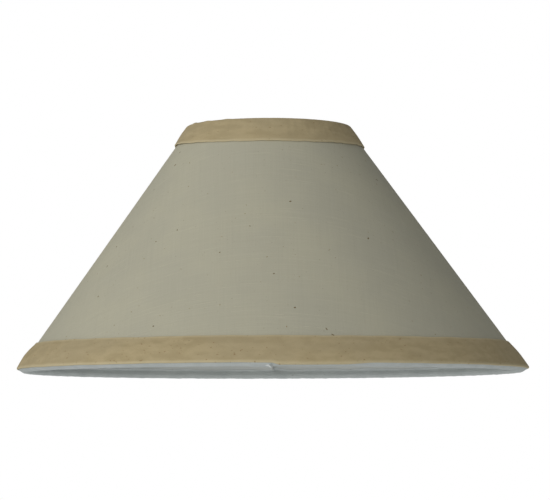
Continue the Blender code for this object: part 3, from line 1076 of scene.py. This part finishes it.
def spider_arm(number):
    line, length = bent_wire(arm_corners(), ARM_BEND, 14)
    heading = np.gradient(line, axis=0)
    heading /= np.linalg.norm(heading, axis=1)[:, None]
    turn = SEAM_TURN + TURN * number / ARM_COUNT
    sides = np.linspace(0, TURN, 24, endpoint=False)
    from_tip = length - np.linspace(0, length, len(line))
    pressed = 1 - soft_step(from_tip, 0.0005, 0.0042)
    rings = []
    for (radius, height), (hr, hz), flat, left in zip(line, heading, pressed, from_tip):
        close = math.sqrt(max(0.0, 1 - (1 - min(left / 0.0009, 1.0)) ** 2)) * 0.75 + 0.25
        tall = arm_radius * (1 - 0.42 * flat) * close
        broad = arm_radius * (1 + 0.28 * flat) * close
        lift = arm_radius * 0.36 * flat
        r = radius - hz * tall * np.cos(sides)
        z = height + hr * tall * np.cos(sides) + lift
        side = broad * np.sin(sides)
        x = r * math.cos(turn) - side * math.sin(turn) + lean * z
        y = r * math.sin(turn) + side * math.cos(turn)
        rings.append(np.stack([x, y, z], axis=-1))
    steps = np.linspace(0, length, len(rings))
    return skin(f"fitter_arm_{number + 1}", FITTER_WIRE, np.array(rings), steps, np.zeros(len(sides)))


arms = [spider_arm(number) for number in range(ARM_COUNT)]

# %% [markdown]
# ## The washer
#
# A stamped disc with a hole for the harp's screw. Its section is drawn once and turned round the axis
# in small steps. A stamped edge is rounded on the face the punch enters and sharp where it leaves,
# so the section is not a plain rectangle. The Screw modifier would turn it too.

# %% Turn the washer
WASHER_STEPS = 120


def turned_washer():
    half = (washer_high.z - washer_low.z) / 2
    outer, inner, ease = washer_radius, HOLE_RADIUS, 0.00055
    quarter = [(math.sin(t), math.cos(t)) for t in np.linspace(0, math.pi / 2, 7)]
    section = [(inner + 0.0002, half)]
    section += [(inner + 0.0011, half - 0.00006), (outer - 0.0012, half - 0.00006)]
    section += [(outer - ease + ease * sine, half - ease + ease * cosine) for sine, cosine in quarter]
    section += [(outer, -half + 0.0002), (outer - 0.0002, -half), (inner + ease, -half)]
    section += [(inner + ease - ease * sine, -half + ease - ease * cosine) for sine, cosine in quarter[1:]]
    section += [(inner, half - 0.0002)]
    shape = bmesh.new()
    rings = []
    for step in range(WASHER_STEPS):
        angle = TURN * step / WASHER_STEPS
        x, y = math.cos(angle), math.sin(angle)
        places = [washer_middle + Vector((r * x, r * y, z)) for r, z in section]
        rings.append([shape.verts.new(place) for place in places])
    for ring, after in zip(rings, rings[1:] + rings[:1]):
        for step in range(len(section)):
            nxt = (step + 1) % len(section)
            shape.faces.new((ring[step], ring[nxt], after[nxt], after[step]))
    bmesh.ops.recalc_face_normals(shape, faces=shape.faces[:])
    piece = new_piece("fitter_washer_disc", shape, FITTER_WIRE)
    piece.data.set_sharp_from_angle(angle=math.radians(40))
    return piece


washer = turned_washer()
print(f"washer {2e3 * washer_radius:.1f} mm across")

# %% Weld beads


def weld_bead(name, middle, size, seed):
    """A small uneven bead of weld metal."""
    lumps = np.random.default_rng(seed)
    shape = bmesh.new()
    bmesh.ops.create_icosphere(shape, subdivisions=3, radius=1.0)
    phases = lumps.uniform(0, TURN, 4)
    for vert in shape.verts:
        x, y, z = vert.co
        swell = 1 + 0.10 * math.sin(4 * x + phases[0]) + 0.08 * math.sin(5 * y + 3 * z + phases[1])
        swell += 0.05 * math.sin(9 * z + phases[2]) + 0.04 * math.sin(11 * x - 7 * y + phases[3])
        vert.co = Vector(middle) + Vector((x * size[0], y * size[1], z * size[2])) * swell
    return new_piece(name, shape, WELD)


beads = []
for number in range(ARM_COUNT):
    turn = SEAM_TURN + TURN * number / ARM_COUNT
    at_ring, tip = arm_corners()[0], arm_corners()[-1]
    for name, radius, height, size in (
        ("ring", at_ring.x + 0.0002, at_ring.y - 0.0002, (0.0017, 0.0017, 0.0014)),
        ("washer", washer_radius - 0.0008, tip.y + arm_radius * 0.75, (0.0015, 0.0015, 0.0008)),
    ):
        x, y = radius * math.cos(turn) + lean * height, radius * math.sin(turn)
        beads.append(weld_bead(f"weld_{name}_{number + 1}", (x, y, height), size, 60 + number))
print(len(beads), "weld beads")

# %% [markdown]
# ## Freckles on the tan tape
#
# Cotton tape of this kind keeps small bits of husk too. They are scattered on the tape's outer face
# with Distribute Points on Faces, and each one is turned to lie flat on the cloth.

# %% The freckle tree


def freckle_tree():
    tree, given = new_tree("freckles_on_tape", ("Cloth", "Count", "Seed", "Small", "Large", "Finish"))
    spread = tree.nodes.new("GeometryNodeDistributePointsOnFaces")
    tree.links.new(given["Cloth"], spread.inputs["Mesh"])
    tree.links.new(given["Seed"], spread.inputs["Seed"])
    tree.links.new(given["Count"], spread.inputs["Density"])
    grain = tree.nodes.new("GeometryNodeMeshUVSphere")
    grain.inputs["Segments"].default_value = 6
    grain.inputs["Rings"].default_value = 4
    grain.inputs["Radius"].default_value = 0.5
    copies = tree.nodes.new("GeometryNodeInstanceOnPoints")
    tree.links.new(spread.outputs["Points"], copies.inputs["Points"])
    tree.links.new(grain.outputs["Mesh"], copies.inputs["Instance"])
    tree.links.new(spread.outputs["Rotation"], copies.inputs["Rotation"])
    long = picked(tree, given["Seed"], given["Small"], given["Large"], 1)
    wide = long * picked(tree, given["Seed"], 0.45, 0.9, 2)
    tree.links.new(joined(tree, long, wide, 0.00016), copies.inputs["Scale"])
    hand_over(tree, copies.outputs[0], given["Finish"])
    return tree


FRECKLES = freckle_tree()
trim_freckles = [
    grow(
        name, FRECKLES, start=tape, Count=per_area, Seed=seed, Small=0.0003, Large=largest,
        Finish=PALE_HUSK,
    )
    for name, tape, per_area, seed, largest in (
        ("bottom_trim_freckles", bottom_trim, 2100, 3, 0.0009),
        ("top_trim_freckles", top_trim, 1600, 8, 0.0008),
    )
]

# %% [markdown]
# ## The metal that stays as it was cut
#
# The two rings are almost hidden by their bindings, and the film of tape inside the seam is hidden
# altogether. Their shapes are right as they are, so they only get their finishes.

# %% Dress the frame's own pieces
for node, finish in (("bottom_ring", RING_WIRE), ("top_ring", RING_WIRE), ("seam_tape", GLUE_FILM)):
    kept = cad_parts[node]
    kept.data.materials.clear()
    kept.data.materials.append(finish)

# %% [markdown]
# ## Floor, light and air
#
# One broad soft lamp stands at the front left, as a studio softbox would. A weak fill comes from low in
# front, and a very small one inside lifts the far wall, as a pale table would do for the real shade.
# The rest is soft light from all round, a little stronger on the left. The floor lies well below,
# because the camera looks up from under the rim, and fades into white so that no horizon shows.

# %% Stage
FLOOR_HEIGHT, FLOOR_RADIUS = -0.30, 2.4


def studio_floor():
    shape = bmesh.new()
    bmesh.ops.create_circle(shape, cap_ends=True, segments=96, radius=FLOOR_RADIUS)
    bmesh.ops.translate(shape, verts=shape.verts[:], vec=(0, 0, FLOOR_HEIGHT))
    finish, tree, shader = new_finish("pale_floor", 0.8)
    shader.inputs["Base Color"].default_value = (0.84, 0.84, 0.83, 1)
    shader.inputs["Emission Color"].default_value = (0.97, 1.0, 1.0, 1)
    shader.inputs["Emission Strength"].default_value = 0.22
    x, y, _ = parted(tree, object_place(tree))
    reach = (x * x + y * y).math("SQRT")
    fade = tree.nodes.new("ShaderNodeMixShader")
    clear = tree.nodes.new("ShaderNodeBsdfTransparent")
    tree.links.new(reach.steps(0.55, FLOOR_RADIUS - 0.2).socket, fade.inputs[0])
    tree.links.new(shader.outputs[0], fade.inputs[1])
    tree.links.new(clear.outputs[0], fade.inputs[2])
    from_below = tree.nodes.new("ShaderNodeMixShader")
    tree.links.new(tree.nodes.new("ShaderNodeNewGeometry").outputs["Backfacing"], from_below.inputs[0])
    tree.links.new(fade.outputs[0], from_below.inputs[1])
    tree.links.new(clear.outputs[0], from_below.inputs[2])
    tree.links.new(from_below.outputs[0], tree.nodes["Material Output"].inputs["Surface"])
    return new_piece("studio_floor", shape, finish)


floor = studio_floor()

# %% Lights


def soft_lamp(name, place, aim, size, power, tint):
    """A round lamp this wide in metres, that the camera itself doesn't see."""
    data = bpy.data.lights.new(name, "AREA")
    data.shape, data.size, data.energy, data.color = "DISK", size, power, tint
    lamp = bpy.data.objects.new(name, data)
    bpy.context.scene.collection.objects.link(lamp)
    lamp.location = place
    lamp.rotation_euler = (Vector(aim) - Vector(place)).to_track_quat("-Z", "Y").to_euler()
    lamp.visible_camera = False
    return lamp


AMBIENT, AMBIENT_TINT, TO_ONE_SIDE = 0.335, (0.985, 1.0, 1.0), 0.30
soft_lamp("softbox", (-1.67, -1.95, 0.95), (0, 0, 0.06), 1.2, 27.0, (1.0, 0.985, 0.96))
soft_lamp("low_fill", (-0.20, -1.90, -0.16), (0, 0, 0.0), 1.2, 3.2, (0.97, 1.0, 1.0))
soft_lamp("inner_fill", (0.01, -0.06, -0.03), (0.01, 0.15, 0), 0.08, 0.030, (0.97, 1.0, 1.0))
world = bpy.data.worlds.new("white_air")
bpy.context.scene.world = world
world.use_nodes = True
air = world.node_tree
glow = air.nodes["Background"]
glow.inputs["Color"].default_value = (*AMBIENT_TINT, 1)
side = parted(air, air.nodes.new("ShaderNodeTexCoord").outputs["Generated"])[0]
air.links.new((side * (-TO_ONE_SIDE * AMBIENT) + AMBIENT).socket, glow.inputs["Strength"])
white = air.nodes.new("ShaderNodeBackground")
white.inputs["Strength"].default_value = 1.0
white.inputs["Color"].default_value = (1, 1, 1, 1)
choose = air.nodes.new("ShaderNodeMixShader")
air.links.new(air.nodes.new("ShaderNodeLightPath").outputs["Is Camera Ray"], choose.inputs[0])
air.links.new(glow.outputs[0], choose.inputs[1])
air.links.new(white.outputs[0], choose.inputs[2])
air.links.new(choose.outputs[0], air.nodes["World Output"].inputs["Surface"])
bpy.context.scene.view_settings.view_transform = "Standard"

# %% [markdown]
# ## Join every piece to the frame
#
# Nothing on a shade moves against the rest, so every piece rides on the one body. Each row gives a
# piece, the name of its finish slot, which the loop doesn't use, and the frame's solids that it stands
# for, which are hidden. Each tape keeps the width and length that it was cut to. The cover is a fan,
# so its angle, radii and area are printed.

# %% Ride and replace
for piece, slot, nodes in (
    (cover, "muslin", ("fabric_cover",)), (slubs, "muslin", ()), (dark_husk, "muslin", ()),
    (pale_husk, "muslin", ()), (liner, "styrene", ("styrene_liner",)),
    (bottom_binding, "white_tape", ("bottom_binding",)), (top_binding, "white_tape", ("top_binding",)),
    (curl, "white_tape", ()),
    (bottom_trim, "tan_tape", ("bottom_trim",)), (top_trim, "tan_tape", ("top_trim",)),
    (trim_freckles[0], "tan_tape", ()), (trim_freckles[1], "tan_tape", ()),
    (arms[0], "fitter_wire", ("spider_arm_1",)), (arms[1], "fitter_wire", ("spider_arm_2",)),
    (arms[2], "fitter_wire", ("spider_arm_3",)), (washer, "fitter_washer", ("spider_washer",)),
    *((bead, "fitter_wire", ()) for bead in beads),
):
    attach(piece, "root")
    if nodes:
        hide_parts(*nodes)

foot_slant = foot.x / math.sin(slope)
fan_angle = TURN * math.sin(slope)
top_slant = foot_slant - panel_length
fan_area = fan_angle / 2 * (foot_slant**2 - top_slant**2) + LAP_WIDTH * panel_length
print(f"fan: {math.degrees(fan_angle):.0f} degrees, radii {foot_slant:.4f} and {top_slant:.4f}")
print(f"fan area {fan_area:.4f}")

# %% Sizes, and finish
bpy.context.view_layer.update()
